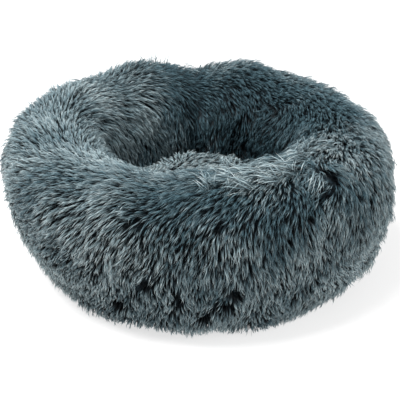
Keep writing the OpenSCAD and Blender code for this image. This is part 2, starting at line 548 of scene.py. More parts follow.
def grow_tufts(
    pile,
    rng,
    place,
    normal,
    lie,
    lift,
    long,
    spread,
    per_tuft,
    thick,
    tone,
    gather=0.22,
    start=0.0,
    curl=0.05,
):
    """Grows each tuft's locks: rooted in a disc of radius spread, leaning along lie at that lift
    (sine of the angle from the backing), and closing up to gather of the spread at the tips. The
    tip stands 0.74 lift of the length up and a little over its cosine along; the middle stands
    higher than halfway, so that the lock arches over. Each bends sideways by about curl of its
    length, and its colour begins at start of the way from root to tip."""
    count = len(place)
    which = np.repeat(np.arange(count), per_tuft)
    n = len(which)
    angle = rng.uniform(0, TAU, n)
    away = spread * np.sqrt(rng.uniform(0, 1, n))
    cross = np.cross(normal, lie)[which]
    offset = away[:, None] * (np.cos(angle)[:, None] * lie[which] + np.sin(angle)[:, None] * cross)
    size = (long[which] * rng.uniform(0.80, 1.05, n))[:, None]
    high = np.clip(lift[which] + rng.normal(0, 0.03, n), 0.1, 1)[:, None]
    flat = np.sqrt(1 - np.minimum(high * high, 0.98))
    up, along, base = normal[which], lie[which], place[which]
    root = base + offset - up * ROOT_DEPTH
    tip = base + offset * gather + size * (up * 0.74 * high + along * (0.90 * flat + 0.08))
    middle = base + offset * 0.95 + size * (up * (0.30 + 0.42 * high) + along * 0.32 * flat)
    bend = rng.normal(0, curl, n)[:, None] * size
    tip = tip + cross * bend
    middle = middle - cross * bend * 0.5
    _, pull = TUFT_NOISE(base)
    tip += pull * TUFT_PULL * np.clip(1.6 - 1.2 * high, 0.5, 1) * np.minimum(size / USUAL_LENGTH, 1)
    middle += pull * TUFT_PULL * 0.3
    tip[:, 2] -= DROOP * size[:, 0]
    for key, points in (("root", root), ("middle", middle), ("tip", tip)):
        on_base = np.hypot(points[:, 0], points[:, 1]) < BASE_R + 1 * MM
        low = np.where(on_base, BASE_TOP + OVER_BASE[key], OVER_GROUND[key])
        points[:, 2] = np.clip(points[:, 2], low, PILE_TOP)
    thickness = rng.uniform(*thick, n) * MM
    shade = np.clip(tone[which] + rng.normal(0, 0.10, n), 0, 1)
    begin = np.broadcast_to(start, count)[which]
    curve = dict(root=root, middle=middle, tip=tip)
    pile.take(**curve, thick=thickness, tone=shade, start=begin, base=base)


# Materials ---------------------------------------------------------------------------------------
# Real spacings. The knit's ribs, the base cloth's threads and the ribbon's ribs are drawn at about
# twice their real 0.8, 0.9 and 0.4 mm, so that they show
RIB_EVERY = 1.6 * MM
BASE_THREAD_EVERY = 1.8 * MM
RIBBON_RIB_EVERY = 0.8 * MM
# Patterns to the metre: clumps of wadding 11 mm across and its fibres' tangle of 1.4 mm, the ply
# of a thread 0.6 mm long, clouds of dust 45 mm across, and the orange peel of cured dots, 1.1 mm
CLUMPS_PER_M = 90.0
FIBRES_PER_M = 700.0
PLIES_PER_M = 1600.0
CLOUDS_PER_M = 22.0
PEEL_PER_M = 900.0
# A band texture repeats twenty times over one unit at scale one
BANDS_PER_UNIT = 20


def pile_material():
    """Dyed modacrylic pile, extruded and brushed: dark at the root, paler and greyer at the tip,
    with a soft gloss along each lock. The near-black at the root is partly the dye and partly
    painted shade, the shadow deep among the locks. The tone is each lock's own place across the
    map."""
    material, tree, surface = new_material("brushed_modacrylic_pile")
    place = add(tree, "ShaderNodeUVMap", uv_map="OFBake")
    parts = add(tree, "ShaderNodeSeparateXYZ", links={0: place.outputs[0]})
    dark = add(tree, "ShaderNodeValToRGB", links={0: parts.outputs[1]})
    pale = add(tree, "ShaderNodeValToRGB", links={0: parts.outputs[1]})
    # Along each lock from root to tip: the near-black roots are partly painted shade, the shadow
    # deep among the locks
    set_stops(dark, ((0.0, "#010305"), (0.5, "#050d12"), (0.72, "#2c444d"), (1.0, "#607c85")))
    set_stops(pale, ((0.0, "#020507"), (0.5, "#121e23"), (0.72, "#879a9f"), (1.0, "#dbe3e2")))
    mix = add(
        tree,
        "ShaderNodeMix",
        data_type="RGBA",
        links={0: parts.outputs[0], 6: dark.outputs[0], 7: pale.outputs[0]},
    )
    wire(
        surface,
        {
            "Roughness": 0.5,
            "Specular IOR Level": 0.18,
            "Sheen Weight": 0.02,
            "Sheen Roughness": 0.4,
            "Sheen Tint": colour("#b9c6cc"),
        },
        {"Base Color": mix.outputs[2]},
    )
    return material


def knit_material():
    """Weft-knitted polyester backing, dyed with the pile: dark and matt, with the knit's ribs. Its
    darkness is partly painted shade, standing for the shadow in the gaps between the locks.
    """
    material, tree, surface = new_material("weft_knitted_backing")
    place = add(tree, "ShaderNodeTexCoord")
    ribs = add(
        tree,
        "ShaderNodeTexWave",
        values={
            "Scale": 1 / (RIB_EVERY * BANDS_PER_UNIT),
            "Distortion": 1.2,
            "Detail": 2.0,
            "Detail Scale": 6.0,
        },
        links={0: place.outputs["Object"]},
        bands_direction="DIAGONAL",
    )
    ramp = add(tree, "ShaderNodeValToRGB", links={0: ribs.outputs[1]})
    # Dark, partly as painted shade in the gaps between the locks
    set_stops(ramp, ((0.0, "#0b1217"), (1.0, "#1c2a31")))
    wire(surface, {"Roughness": 0.9, "Specular IOR Level": 0.2}, {"Base Color": ramp.outputs[0]})
    return material


def wadding_material():
    """Carded hollow polyester fibre: white, matt, with painted shade as soft grey in the hollows
    between the clumps, and a fine tangle of fibres over them."""
    material, tree, surface = new_material("carded_polyester_fibre")
    place = add(tree, "ShaderNodeTexCoord")
    clumps = add(
        tree,
        "ShaderNodeTexNoise",
        values={"Scale": CLUMPS_PER_M, "Detail": 5.0},
        links={0: place.outputs["Object"]},
    )
    fibres = add(
        tree,
        "ShaderNodeTexNoise",
        values={"Scale": FIBRES_PER_M, "Detail": 3.0, "Distortion": 2.5},
        links={0: place.outputs["Object"]},
    )
    # Painted shade: greyer in the hollows between the clumps
    ramp = add(tree, "ShaderNodeValToRGB", links={0: clumps.outputs[0]})
    set_stops(ramp, ((0.3, "#cfcfc9"), (0.7, "#f6f6f2")))
    raised = add(
        tree,
        "ShaderNodeBump",
        values={"Strength": 0.6, "Distance": 0.6 * MM},
        links={"Height": fibres.outputs[0]},
    )
    wire(surface, {"Roughness": 0.95}, {"Base Color": ramp.outputs[0], "Normal": raised.outputs[0]})
    return material


def thread_material(name, dark, pale):
    """Spun polyester sewing thread: the ply shows as fine diagonal lines, pale on the crowns."""
    material, tree, surface = new_material(name)
    place = add(tree, "ShaderNodeTexCoord")
    ply = add(
        tree,
        "ShaderNodeTexNoise",
        values={"Scale": PLIES_PER_M, "Detail": 2.0, "Distortion": 0.8},
        links={0: place.outputs["Object"]},
    )
    ramp = add(tree, "ShaderNodeValToRGB", links={0: ply.outputs[0]})
    set_stops(ramp, ((0.35, dark), (0.65, pale)))
    wire(surface, {"Roughness": 0.6}, {"Base Color": ramp.outputs[0]})
    return material


def weave(tree, pitch, depth):
    """A plain weave of that thread pitch in the x-y plane, as a bump node, its height and the place
    that it reads: the height is |sin x sin y|, the crowns of two sets of rounded threads that go
    over each other by turns."""
    place = add(tree, "ShaderNodeTexCoord")
    parts = add(tree, "ShaderNodeSeparateXYZ", links={0: place.outputs["Object"]})
    sines = []
    for axis in (0, 1):
        turned = add(
            tree,
            "ShaderNodeMath",
            operation="MULTIPLY",
            values={1: math.pi / pitch},
            links={0: parts.outputs[axis]},
        )
        sines.append(add(tree, "ShaderNodeMath", operation="SINE", links={0: turned.outputs[0]}))
    crossing = add(
        tree,
        "ShaderNodeMath",
        operation="MULTIPLY",
        links={0: sines[0].outputs[0], 1: sines[1].outputs[0]},
    )
    height = add(tree, "ShaderNodeMath", operation="ABSOLUTE", links={0: crossing.outputs[0]})
    raised = add(
        tree,
        "ShaderNodeBump",
        values={"Strength": 0.8, "Distance": depth},
        links={"Height": height.outputs[0]},
    )
    return raised, height, place


def base_cloth_material():
    """Woven polyester base cloth, dyed charcoal: a plain weave with dusty paler crowns."""
    material, tree, surface = new_material("woven_base_cloth")
    raised, height, place = weave(tree, BASE_THREAD_EVERY, 0.25 * MM)
    cloud = add(
        tree,
        "ShaderNodeTexNoise",
        values={"Scale": CLOUDS_PER_M, "Detail": 4.0},
        links={0: place.outputs["Object"]},
    )
    both = add(
        tree,
        "ShaderNodeMath",
        operation="MULTIPLY_ADD",
        values={1: 0.6},
        links={0: height.outputs[0], 2: cloud.outputs[0]},
    )
    ramp = add(tree, "ShaderNodeValToRGB", links={0: both.outputs[0]})
    set_stops(ramp, ((0.35, "#14181b"), (1.1, "#3a4248")))
    wire(surface, {"Roughness": 0.85}, {"Base Color": ramp.outputs[0], "Normal": raised.outputs[0]})
    return material


def grip_material():
    """Soft PVC dots printed on the cloth and cured: charcoal, satin, with a slight orange peel."""
    material, tree, surface = new_material("cured_soft_pvc")
    place = add(tree, "ShaderNodeTexCoord")
    peel = add(
        tree,
        "ShaderNodeTexNoise",
        values={"Scale": PEEL_PER_M, "Detail": 2.0},
        links={0: place.outputs["Object"]},
    )
    ramp = add(tree, "ShaderNodeValToRGB", links={0: peel.outputs[0]})
    set_stops(ramp, ((0.3, "#2a2f33"), (0.7, "#3c4348")))
    raised = add(
        tree,
        "ShaderNodeBump",
        values={"Strength": 0.3, "Distance": 0.1 * MM},
        links={"Height": peel.outputs[0]},
    )
    wire(
        surface,
        {"Roughness": 0.42, "IOR": 1.53},
        {"Base Color": ramp.outputs[0], "Normal": raised.outputs[0]},
    )
    return material


def label_material():
    """Blank woven satin ribbon: off-white, with the weft's fine ribs."""
    material, tree, surface = new_material("woven_satin_ribbon")
    raised, height, _ = weave(tree, RIBBON_RIB_EVERY, 0.08 * MM)
    ramp = add(tree, "ShaderNodeValToRGB", links={0: height.outputs[0]})
    set_stops(ramp, ((0.0, "#d3d2cb"), (1.0, "#efeee8")))
    wire(
        surface,
        {"Roughness": 0.45, "Sheen Weight": 0.2},
        {"Base Color": ramp.outputs[0], "Normal": raised.outputs[0]},
    )
    return material


FUR = pile_material()
BACKING = knit_material()
WADDING = wadding_material()
THREAD = thread_material("dark_spun_thread", "#161d22", "#3c474e")
PALE_THREAD = thread_material("grey_spun_thread", "#4a555c", "#7f8b92")

# The ring: backing, wadding and pile ---------------------------------------------------------
ring_start = ring_surface(SET_IN)
ring_phi = np.arange(RING_COLUMNS) / RING_COLUMNS * TAU
ring_share = np.linspace(0, 1, RING_ROWS)[:, None]
tube_start = closed_ring(ring_start)
tube_faces = grid_faces(len(tube_start), RING_COLUMNS, wrap_rows=True)
# Held fast at both feet, and nearly so along the strip's seam
held = np.ones(tube_start.shape[:2])
held[:RING_ROWS] = np.maximum(
    1 - (1 - HOLD) * smooth(np.minimum(ring_share, 1 - ring_share) / 0.07) + 0 * ring_phi,
    0.9 * bump(ring_phi, STRIP_SEAM_AT, 2.5)[None],
)
tube = puffed(tube_start, tube_faces, held, LET_OUT, PUFF)
ring_points = tube[:RING_ROWS]
ring_normals = grid_normals(ring_points)
tube_normals = np.concatenate([ring_normals, np.repeat(ring_normals[-1:], BAND_ROWS, 0)])
tube_normals[RING_ROWS:] = (0, 0, -1)

ring_backing = mesh_piece("ring_backing", tube.reshape(-1, 3), tube_faces, BACKING)
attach(ring_backing, "root")
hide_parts("ring_cover")

# Short partings where the pile falls open on the outer wall: azimuth and share of the section
PARTINGS = (
    (279, 0.235),
    (278, 0.195),
    (272.5, 0.155),
    (257, 0.265),
    (253, 0.23),
    (249, 0.19),
    (245.5, 0.155),
    (264, 0.215),
)
# A parting's half-length and half-width, how far along the lie a lock would cover it, and how the
# pile beside it leans away: how strongly, how near, and over what distance across
PARTING_HALF = (9 * MM, 4.4 * MM)
PARTING_REACH = (3 * MM, 10 * MM, 17 * MM)
PARTING_PUSH, PARTING_NEAR, PARTING_TURN = 0.8, 11 * MM, 2 * MM
# A bare spot at the middle of a swirl: azimuth, share of the section and radius
SWIRL, SWIRL_R = (315, 0.445), 2.2 * MM

# Where the pile parts and turns: azimuth, share of the section, reach in mm, outwards strength and
# turning strength, and how far from the middle the outwards lean begins
WHORLS = (
    (254, 0.405, 34, 0.4, 0.2),
    (315, 0.445, 22, 0.22, -1.3),
    (140, 0.50, 36, 0.4, 0.8),
    (36, 0.60, 34, 0.4, -0.7),
    (198, 0.30, 40, 0.5, 0.6),
)
WHORL_CORE = 12 * MM
# How strongly all of them turn the pile
WHORL_PULL = 1.6


def backing_point(azimuth, share):
    """The backing's point at that azimuth and share of the section."""
    row, column = share * (RING_ROWS - 1), azimuth / 360 * RING_COLUMNS
    return sample_grid(ring_points, np.array([row]), np.array([column]))[0]


# The stretch of rim where long pile has been smoothed along: azimuth and half-width
BAND = (297, 27)
# Paler and darker patches of the ring's pile, partly its own tone where it has been brushed the
# other
# way and partly painted light and shade: painted shade in the strip's crease, down the well's inner
# walls and under the right front's crest, painted light on the left crest, the back-left lobe and
# low on the outer wall at either side. Each: azimuth, half-width in degrees, share of the section,
# half-width of that, shift of the tone
TONE_AND_SHADE_PATCHES = (
    (200, 52, 0.50, 0.17, 0.12),
    (296, 30, 0.555, 0.055, 0.12),
    (302, 36, 0.42, 0.06, -0.36),
    (260, 16, 0.42, 0.06, -0.30),
    (66, 28, 0.72, 0.18, -0.65),
    (95, 7, 0.68, 0.25, -0.55),
    (24, 30, 0.74, 0.14, -0.55),
    (4, 18, 0.56, 0.08, -0.25),
    (205, 16, 0.64, 0.08, 0.20),
    (138, 24, 0.64, 0.14, 0.14),
    (150, 22, 0.54, 0.07, 0.08),
    (163, 12, 0.71, 0.08, 0.25),
    (246, 9, 0.42, 0.09, 0.36),
    (262, 16, 0.56, 0.05, -0.20),
    (288, 22, 0.57, 0.04, -0.20),
    (60, 26, 0.50, 0.05, 0.2),
    (24, 16, 0.46, 0.05, 0.2),
    (246, 15, 0.37, 0.09, 0.30),
    (277, 9, 0.30, 0.07, -0.18),
    (113, 12, 0.60, 0.08, -0.35),
    (155, 12, 0.52, 0.06, 0.06),
    (163, 14, 0.60, 0.07, 0.16),
    (52, 34, 0.60, 0.07, -0.40),
    (18, 16, 0.53, 0.07, -0.30),
    (190, 16, 0.25, 0.15, 0.34),
    (330, 20, 0.14, 0.09, 0.36),
    (264, 16, 0.47, 0.05, -0.30),
    (232, 20, 0.42, 0.06, -0.10),
    (352, 26, 0.30, 0.2, 0.30),
    (208, 30, 0.16, 0.12, 0.38),
)


def patch_tone_and_shade(share, phi):
    """The sum of the patches' bells at each tuft: partly the pile's own tone, partly painted light
    and shade.
    """
    return sum(bump(phi, a, w) * bell(share, at, wide) * shift for a, w, at, wide, shift in TONE_AND_SHADE_PATCHES)


def ring_comb(place, normal, down, around, share, phi):
    """The lie of the ring's pile: down the outer wall, down the inner wall, swept clockwise along
    the crest between them and along the left front's wall, turned about each whorl and pushed off
    each parting. Returns the direction, the lift, which is more on the low wall and less along the
    band, and the reach, which is the length over the usual."""
    side = np.tanh((share - 0.545) / 0.09)
    left_front = bump(phi, 213, 32)
    right_front = bump(phi, 290, 34)
    crest_sweep = bell(share, 0.53, 0.11)
    wall_sweep = bell(share, 0.34, 0.15) * (0.10 + 0.95 * left_front - 0.12 * right_front)
    value, _ = LIE_NOISE(place)
    sway, _ = SWAY_NOISE(place)
    round_about = -(1.15 * crest_sweep + 0.9 * wall_sweep + 0.06) + 0.20 * value + 0.20 * sway
    lie = down * side[:, None] + around * round_about[:, None]
    for azimuth, at, reach, outwards, turning in WHORLS:
        away = place - backing_point(azimuth, at)
        away -= normal * dot(away, normal)
        far = np.linalg.norm(away, axis=-1, keepdims=True)
        near = np.exp(-((far / (reach * MM)) ** 2))
        heading = away / np.maximum(far, WHORL_CORE)
        lie += near * WHORL_PULL * (outwards * heading + turning * np.cross(normal, heading))
    for azimuth, at in PARTINGS:
        away = place - backing_point(azimuth, at)
        slant = unit(down * side[:, None] + around * round_about[:, None])
        across = away - slant * dot(away, slant)
        near = np.exp(-dot(away, away) / PARTING_NEAR**2)
        lie += near * PARTING_PUSH * np.tanh(across / PARTING_TURN)
    lie -= normal * dot(lie, normal)
    longer, _ = LENGTH_NOISE(place)
    band = bump(phi, *BAND) * bell(share, 0.555, 0.055)
    low_wall = smooth((0.36 - share) / 0.2)
    lift = 0.48 + 0.12 * bell(share, 0.53, 0.13) + 0.04 * value - 0.08 * bell(share, 0.95, 0.12)
    lift += 0.32 * low_wall - 0.32 * band
    reach = 1.0 + 0.07 * longer + 0.34 * band - 0.17 * low_wall
    reach = reach - 0.25 * bell(share, 0.0, 0.06) - 0.35 * bell(share, 1.0, 0.05)
    return unit(lie), lift, reach


def paled(share, phi):
    """How far up its colours each tuft begins: pile that is combed flat, as over the rim, the left
    side and the back lobe's inner side, shows its lengths and not only its tips."""
    over = smooth((share - 0.37) / 0.14) * (1 - bump(phi, 62, 34) * smooth((share - 0.54) / 0.08))
    left = bump(phi, 190, 45) * smooth((share - 0.22) / 0.2) * smooth((0.85 - share) / 0.2)
    lobe = bump(phi, 130, 26) * bell(share, 0.66, 0.14)
    band = bump(phi, *BAND) * bell(share, 0.555, 0.06)
    return np.clip(0.20 * over + 0.20 * left + 0.08 * lobe + 0.10 * band, 0, 0.36)


def bare(place, lie):
    """True for tufts in the swirl's bare spot, and for those whose locks would cover a parting: an
    ellipse laid along the pile's lie."""
    inside = np.linalg.norm(place - backing_point(*SWIRL), axis=-1) < SWIRL_R
    for azimuth, at in PARTINGS:
        for reach in PARTING_REACH:
            away = place + lie * reach - backing_point(azimuth, at)
            along = (away * lie).sum(-1)
            across = np.sqrt(np.maximum((away * away).sum(-1) - along**2, 0))
            inside |= (along / PARTING_HALF[0]) ** 2 + (across / PARTING_HALF[1]) ** 2 < 1
    return inside


# The ring's tufts and the finer fibres between them: spacing, length, spread and thickness
TUFT_EVERY, TUFT_LONG, TUFT_SPREAD = 3.75 * MM, 28 * MM, 1.4 * MM
LOCKS_PER_TUFT, LOCK_THICK = 3, (0.7, 1.1)
FIBRE_EVERY, FIBRE_LONG, FIBRE_SPREAD, FIBRE_THICK = 4.3 * MM, 29 * MM, 2 * MM, (0.35, 0.6)
# Fine fibres keep this share of their places, and all of them from THICKER_FROM of the section on
FIBRES_KEPT, THICKER_FROM = 0.35, 0.42
FLATTEST = 0.15

rng = np.random.default_rng(20)
ring_pile = Pile()


def combed_tufts(spacing, turn, rise, shake, thinned=False):
    """Tuft roots over the ring, less those that would cover a parting, and less some low ones if
    thinned. Each is combed, then turned by about turn and lifted by rise and about shake."""
    places = tuft_places(ring_points, ring_normals, rng, spacing)
    keep = ~bare(places[0], ring_comb(*places)[0])
    if thinned:
        keep &= rng.uniform(0, 1, len(keep)) < FIBRES_KEPT + (places[4] > THICKER_FROM)
    tufts = [a[keep] for a in places]
    lie, lift, reach = ring_comb(*tufts)
    count = len(lie)
    lie = unit(lie + np.cross(tufts[1], lie) * rng.normal(0, turn, count)[:, None])
    lift = np.clip(lift + rng.normal(rise, shake, count), FLATTEST, 1)
    return tufts, lie, lift, reach


tufts, lie, lift, reach = combed_tufts(TUFT_EVERY, 0.15, 0, 0.08)
place, normal, down, around, share, phi = tufts
count = len(place)
long = TUFT_LONG * reach * rng.uniform(0.84, 1.14, count)
shade, _ = TONE_NOISE(place)
pale = paled(share, phi)
mottle = 0.32 * np.sign(rng.uniform(-1, 1, count)) * rng.uniform(0.1, 1, count)
# The tone of each tuft, with the patches' painted light and shade added
tone = 0.43 + 0.12 * shade + mottle * (1 - 2.2 * pale) - 0.7 * pale + patch_tone_and_shade(share, phi)
grow_tufts(
    ring_pile,
    rng,
    place,
    normal,
    lie,
    lift,
    long,
    TUFT_SPREAD,
    LOCKS_PER_TUFT,
    LOCK_THICK,
    tone,
    gather=0.05,
    start=pale,
)

# Fine single fibres between and over the tufts
fibres, lie, lift, reach = combed_tufts(FIBRE_EVERY, 0.3, 0.03, 0.09, thinned=True)
count = len(lie)
long = FIBRE_LONG * reach * rng.uniform(0.9, 1.12, count)
# The fibres take the patches' painted light and shade too
tone = 0.3 + rng.uniform(-0.3, 0.3, count) + patch_tone_and_shade(*fibres[4:])
grow_tufts(
    ring_pile, rng, *fibres[:2], lie, lift, long, FIBRE_SPREAD, 1, FIBRE_THICK, tone, gather=0.9
)

# Loose tufts that lie across the rest: azimuth, share of the section, heading in degrees from
# clockwise round the bed towards the well, length in mm, lift, locks
LOOSE = (
    (274, 0.475, 70, 32, 0.40, 18),
    (279, 0.46, 130, 30, 0.40, 16),
    (283, 0.49, 20, 36, 0.36, 18),
    (287, 0.46, 45, 36, 0.36, 18),
    (291, 0.50, 15, 38, 0.34, 20),
    (295, 0.465, 40, 38, 0.34, 20),
    (299, 0.51, 10, 38, 0.34, 20),
    (303, 0.475, 30, 38, 0.36, 20),
    (308, 0.51, -5, 36, 0.38, 18),
    (309, 0.455, -40, 32, 0.36, 18),
    (312, 0.51, 25, 32, 0.36, 16),
    (318, 0.54, 140, 28, 0.40, 14),
    (330, 0.50, 60, 26, 0.45, 14),
    (98, 0.50, 30, 26, 0.50, 12),
)
# How far over the backing they lie, their scatter and fan, and their thickness
LOOSE_UP = 9 * MM
LOOSE_SCATTER = 4 * MM
LOOSE_FAN = 0.24
LOOSE_THICK = (0.9, 1.3)
LOOSE_SINK = 0.16
for azimuth, at, heading, length, high, locks in LOOSE:
    centre = backing_point(azimuth, at)
    nearest = np.argmin(((place - centre) ** 2).sum(-1))
    turn = math.radians(heading)
    towards = -around[nearest] * math.cos(turn) + down[nearest] * math.sin(turn)
    fan = rng.normal(0, LOOSE_FAN, (locks, 1))
    up = np.repeat(normal[nearest][None], locks, 0)
    grow_tufts(
        ring_pile,
        rng,
        centre[None] + rng.normal(0, LOOSE_SCATTER, (locks, 3)) + up * LOOSE_UP,
        up,
        unit(towards[None] + fan * np.cross(normal[nearest], towards)[None]),
        np.full(locks, high - LOOSE_SINK) + rng.normal(0, 0.04, locks),
        np.full(locks, length * MM),
        1.0 * MM,
        1,
        LOOSE_THICK,
        rng.uniform(0.25, 0.75, locks),
        start=0.42,
        curl=0.16,
    )

# A few fibres that stand up from the highest lobe, leaning out over the back: how many, the azimuth
# and share of the section round which they stand, and how far from them
STRAYS = 16
STRAY_AT, STRAY_NEAR = (109, 0.505), (4, 0.025)
by_azimuth = bump(phi, STRAY_AT[0], STRAY_NEAR[0]) > 0.4
by_share = abs(share - STRAY_AT[1]) < STRAY_NEAR[1]
stray = rng.choice(np.nonzero(by_azimuth & by_share)[0], STRAYS, replace=False)
grow_tufts(
    ring_pile,
    rng,
    place[stray],
    normal[stray],
    unit(rng.normal(0, 0.6, (STRAYS, 1)) * around[stray] - down[stray]),
    rng.uniform(0.56, 0.74, STRAYS),
    rng.uniform(40, 48, STRAYS) * MM,
    1 * MM,
    1,
    (0.9, 1.2),
    rng.uniform(0.1, 0.6, STRAYS),
    start=0.3,
)

# The ring's pile is cut into sectors, so that no piece holds too much
SECTORS = 12
base = ring_pile.all("base")
sector = np.floor((np.arctan2(base[:, 1], base[:, 0]) % TAU) / TAU * SECTORS).astype(int) % SECTORS
for number in range(SECTORS):
    pick = sector == number
    roll = rng.uniform(0, TAU, pick.sum())
    points, triangles, uv = lock_mesh(*(ring_pile.all(k)[pick] for k in LOCK_KEYS), roll)
    piece = mesh_piece(f"ring_pile_{number + 1:02d}", points, triangles, FUR, uv)
    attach(piece, "root")


WADDING_FOOT = BASE_TOP + 1.2 * MM


def wadding_ring():
    """Lumpy fibre filling: the backing's own grid drawn in by 3.5 mm, and by up to 3.2 mm more in
    soft hollows between the clumps; less along the feet and across the base."""
    clump, _ = waves(31, 26 * MM, 14)(tube.reshape(-1, 3))
    inset = (3.5 + 1.6 * (1 + np.clip(clump, -1, 1))).reshape(tube.shape[:2]) * MM
    inset[RING_ROWS:] = 1.5 * MM
    inset[0] = inset[RING_ROWS - 1] = 2.2 * MM
    points = tube - tube_normals * inset[..., None]
    points[..., 2] = np.maximum(points[..., 2], WADDING_FOOT)
    return points


wadding = wadding_ring()
ring_wadding = mesh_piece("ring_wadding", wadding.reshape(-1, 3), tube_faces, WADDING)
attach(ring_wadding, "root")
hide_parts("ring_fill")


# Rope, stitches and seam allowance -----------------------------------------------------------
THREAD_SIDES = 5


def turned_ring(heading, towards):
    """A circle of unit vectors across each heading, the first of them square to towards too."""
    side = unit(np.cross(heading, towards))
    up = np.cross(side, heading)
    angle = np.arange(THREAD_SIDES) / THREAD_SIDES * TAU
    return np.cos(angle)[None, :, None] * side[:, None] + np.sin(angle)[None, :, None] * up[:, None]


def strand(path, radius):
    """A strand of that radius along a path of points (n, 3), as points and faces, with a flat fan
    over each end."""
    n = len(path)
    ring = turned_ring(unit(np.gradient(path, axis=0)), np.array([0.0, 0.0, 1.0]) + 1e-3)
    points = (path[:, None] + ring * radius).reshape(-1, 3)
    fan = np.arange(THREAD_SIDES)
    after = (fan + 1) % THREAD_SIDES
    last_ring = (n - 1) * THREAD_SIDES
    first = np.stack([0 * fan + len(points), fan, after], -1)
    last = np.stack([0 * fan + len(points) + 1, last_ring + after, last_ring + fan], -1)
    faces = grid_faces(n, THREAD_SIDES)[:, ::-1]
    return np.concatenate([points, path[:1], path[-1:]]), [faces, first, last]


def joined(meshes):
    """Several (points, face arrays) as one, quads cut into triangles."""
    all_points, all_faces, start = [], [], 0
    for points, groups in meshes:
        for group in groups:
            if group.shape[1] == 4:
                group = np.concatenate([group[:, :3], group[:, [0, 2, 3]]])
            all_faces.append(group + start)
        all_points.append(points)
        start += len(points)
    return np.concatenate(all_points), np.concatenate(all_faces)


# A stitch's rings: how far along it each lies, and how thick it is there
STITCH_RUN = np.array([0.04, 0.25, 0.5, 0.75, 0.96])
STITCH_WIDE = np.array([0.6, 1, 1, 1, 0.6])


def stitches(begin, end, sag, radius):
    """Short stitches from begin to end, each a bowed capsule of five rings with pointed ends, its
    middle pushed along sag: begin (1-t) + end t + 4t(1-t) sag. Returns points and triangles."""
    count, rings = len(begin), len(STITCH_RUN)
    t = STITCH_RUN[None, :, None]
    line = begin[:, None] * (1 - t) + end[:, None] * t
    line = line + sag[:, None] * (4 * t * (1 - t))
    ring = turned_ring(unit(end - begin), sag)
    body = line[:, :, None] + ring[:, None] * (radius * STITCH_WIDE)[None, :, None, None]
    size = rings * THREAD_SIDES
    points = np.concatenate([begin[:, None], body.reshape(count, size, 3), end[:, None]], 1)
    quads = grid_faces(rings, THREAD_SIDES)[:, ::-1] + 1
    fan = np.arange(THREAD_SIDES)
    after = (fan + 1) % THREAD_SIDES
    last_ring = size - THREAD_SIDES + 1
    triangles = np.concatenate([
        quads[:, :3],
        quads[:, [0, 2, 3]],
        np.stack([0 * fan, 1 + fan, 1 + after], -1),
        np.stack([0 * fan + size + 1, last_ring + after, last_ring + fan], -1),
    ])
    every = triangles[None] + (np.arange(count) * (size + 2))[:, None, None]
    return points.reshape(-1, 3), [every.reshape(-1, 3)]


def seam_piece(name, meshes, material, node):
    """A piece of thread that stands for a seam's node."""
    points, faces = joined(meshes)
    piece = mesh_piece(name, points, faces, material)
    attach(piece, "root")
    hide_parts(node)


# The middle line of the thread round the base's rim, the height of the stitches' legs under it,
# and the degrees that each seam stops short of the other
RIM_R = (SEAM_HI[0] + BASE_R) / 2
RIM_Z = (BASE_TOP + BASE_BOTTOM) / 2
UNDER = BASE_BOTTOM + 0.05 * MM
OVERLOCK_END, WHIP_END = 0.2, 0.6


def overlock(start, stop, pitch):
    """An overlocked edge between two azimuths: two strands laid up as a rope round the base's rim,
    and a leg back under the cloth at each stitch."""
    span = math.radians(stop - start)
    turns = int(RIM_R * span / pitch)
    t = np.linspace(0, 1, turns * 8)
    phi = math.radians(start) + span * t
    meshes = []
    for lag in (0, math.pi):
        angle = TAU * turns * t + lag
        radius = RIM_R + 0.26 * MM * np.cos(angle)
        height = RIM_Z + 0.26 * MM * np.sin(angle)
        meshes.append(strand(on_circle(phi, radius, height), 0.27 * MM))
    at = math.radians(start) + span * (np.arange(turns) + 0.5) / turns
    begin = on_circle(at, RIM_R - 0.2 * MM, RIM_Z - 0.5 * MM)
    end = on_circle(at + 0.25 * pitch / RIM_R, RIM_R - 4.2 * MM, UNDER)
    sag = np.tile(np.array([0, 0, -0.18 * MM]), (turns, 1))
    meshes.append(stitches(begin, end, sag, 0.2 * MM))
    return meshes


seam_piece(
    "base_overlock",
    overlock(CLOSING_TO + OVERLOCK_END, CLOSING_FROM + 360 - OVERLOCK_END, 4.0 * MM),
    THREAD,
    "base_seam",
)


def whip_stitches(start, stop, pitch):
    """Hand whip stitches between two azimuths: slanting bars over the base's rim, on a thread that
    weaves along it."""
    span = math.radians(stop - start)
    turns = int(RIM_R * span / pitch)
    at = math.radians(start) + span * (np.arange(turns) + 0.3) / turns
    begin = on_circle(at, RIM_R + 0.1 * MM, RIM_Z + 0.3 * MM)
    end = on_circle(at + 0.6 * pitch / RIM_R, RIM_R - 3.4 * MM, UNDER)
    sag = on_circle(at, 0.25 * MM, 0.0) + np.array([0, 0, -0.32 * MM])
    t = np.linspace(0, 1, turns * 4)
    height = RIM_Z + 0.1 * MM * np.sin(TAU * turns * t)
    line = on_circle(math.radians(start) + span * t, RIM_R, height)
    return [stitches(begin, end, sag, 0.24 * MM), strand(line, 0.3 * MM)]


seam_piece(
    "closing_whip_stitches",
    whip_stitches(CLOSING_FROM + WHIP_END, CLOSING_TO - WHIP_END, 6.0 * MM),
    PALE_THREAD,
    "closing_seam",
)

FLOOR_SEAM_R = (FLOOR_SEAM_HI[0] * 2 - (FLOOR_SEAM_HI[2] - FLOOR_SEAM_LO[2])) / 2
FLOOR_SEAM_Z = (FLOOR_SEAM_HI[2] + FLOOR_SEAM_LO[2]) / 2


